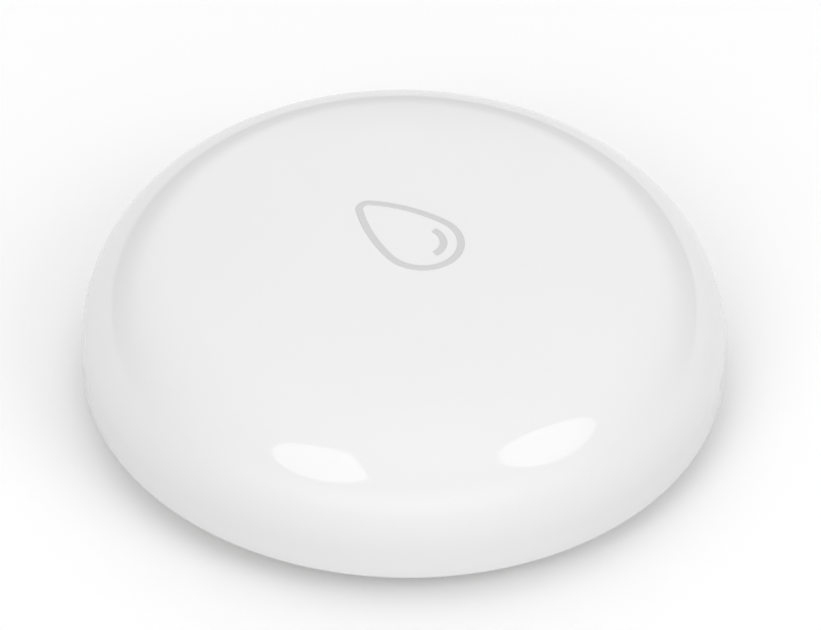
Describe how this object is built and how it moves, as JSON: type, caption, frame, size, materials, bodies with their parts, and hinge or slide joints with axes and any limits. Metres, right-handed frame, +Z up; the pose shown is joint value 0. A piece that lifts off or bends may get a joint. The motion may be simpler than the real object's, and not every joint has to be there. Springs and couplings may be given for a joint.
{
  "type": "water leak sensor",
  "caption": "Round domed water leak sensor: a white press-down cover over a base tray with coin cell, bayonet battery door and probe screws underneath.",
  "frame": {"origin": "on the dome's axis, on the plane that the three feet stand on", "axes": "+Z up along the dome's axis; +Y the way the tip of the drop mark points; the two probes lie along X"},
  "size_m": [0.05, 0.05, 0.015],
  "materials": {
    "cover_white": "glossy moulded white",
    "mark_grey": "pad-printed grey ink",
    "base_white": "fine moulded texture",
    "door_white": "fine moulded texture",
    "silicone": "grey silicone",
    "stainless": "turned stainless steel",
    "brass": "turned brass",
    "board_green": "solder mask",
    "zinc_steel": "zinc plated",
    "black_plastic": "moulded",
    "nickel_steel": "nickel plated sheet",
    "tinned_steel": "tinned",
    "stem_plastic": "moulded",
    "led_resin": "clear resin on a white body",
    "chip_black": "moulded epoxy",
    "tantalum_yellow": "moulded epoxy",
    "ceramic_tan": "ceramic with tinned ends",
    "copper": "etched copper",
    "contact_nickel": "nickel plated spring strip",
    "cell_steel": "drawn stainless steel",
    "gasket_grey": "moulded"
  },
  "bodies": {
    "base": {"base_shell": "base_white", "perimeter_seal": "silicone", "probe_screw_left": "stainless", "probe_screw_right": "stainless", "probe_seals": "silicone", "probe_posts": "brass", "circuit_board": "board_green", "board_screws": "zinc_steel", "switch_housing": "black_plastic", "switch_frame": "nickel_steel", "switch_terminals": "tinned_steel", "switch_dome": "nickel_steel", "status_led": "led_resin", "radio_chip": "chip_black", "crystal": "nickel_steel", "reservoir_capacitor": "tantalum_yellow", "board_passives": "ceramic_tan", "antenna_trace": "copper", "positive_clip": "contact_nickel", "negative_spring": "contact_nickel", "cell_can": "cell_steel", "cell_gasket": "gasket_grey", "cell_cap": "cell_steel"},
    "cover": {"top_cover": "cover_white", "drop_mark": "mark_grey"},
    "stem": {"switch_stem": "stem_plastic"},
    "door": {"battery_cover": "door_white", "battery_cover_seal": "silicone"}
  },
  "joints": [
    {"name": "cover_press", "type": "slide", "parent": "base", "child": "cover", "axis": [0, 0, -1], "range_m": [0, 0.00025], "stiffness_N_per_m": 2000, "springref_m": -0.0004},
    {"name": "switch_stem_press", "type": "slide", "parent": "base", "child": "stem", "axis": [0, 0, -1], "range_m": [0, 0.00025], "deforming": ["switch_dome"]},
    {"name": "battery_cover_turn", "type": "hinge", "parent": "base", "child": "door", "pos_m": [0, 0, 0.0006], "axis": [0, 0, -1], "range_deg": [0, 45]}
  ],
  "couplings": [
    {"joint": "switch_stem_press", "follows": "cover_press", "ratio": 1}
  ]
}
